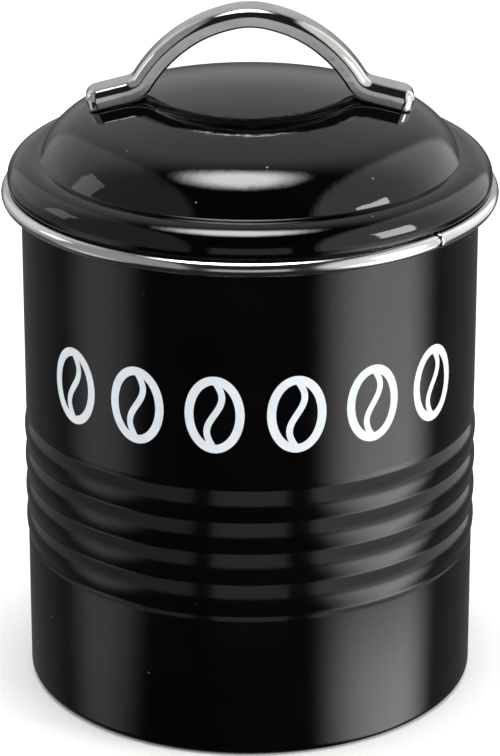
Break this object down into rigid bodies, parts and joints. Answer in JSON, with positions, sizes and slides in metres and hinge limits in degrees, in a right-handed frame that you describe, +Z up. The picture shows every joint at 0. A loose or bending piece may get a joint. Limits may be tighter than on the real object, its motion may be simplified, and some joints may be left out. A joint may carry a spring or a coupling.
{
  "type": "coffee canister",
  "caption": "Round sheet-metal kitchen canister with ribbed side wall, stainless rim ring and a domed lift-off lid with a seal and a strap handle.",
  "frame": {"origin": "centre of the foot, on the surface the canister stands on", "axes": "+Z up along the canister's axis; the front, with the print, faces -Y; the strap handle runs along X"},
  "size_m": [0.114, 0.114, 0.1626],
  "materials": {
    "body_coat": "semi-gloss black powder coat",
    "base_coat": "satin black powder coat",
    "ring_steel": "polished stainless steel",
    "lid_coat": "gloss black powder coat with a fine orange peel",
    "collar_steel": "brushed tinplate",
    "seal_silicone": "milky silicone",
    "handle_chrome": "polished chrome plate with fine pressing marks",
    "fastener_steel": "zinc-plated steel",
    "print_ink": "screen-printed white ink"
  },
  "bodies": {
    "canister": {"body_wall": "body_coat", "base_disc": "base_coat", "rim_ring": "ring_steel"},
    "lid": {"lid_shell": "lid_coat", "lid_collar": "collar_steel", "seal_ring": "seal_silicone", "handle": "handle_chrome", "handle_bosses": "fastener_steel", "handle_screws": "fastener_steel", "handle_washers": "fastener_steel"}
  },
  "joints": [
    {"name": "lid_lift", "type": "slide", "parent": "canister", "child": "lid", "axis": [0, 0, 1], "range_m": [0, 0.1]}
  ]
}
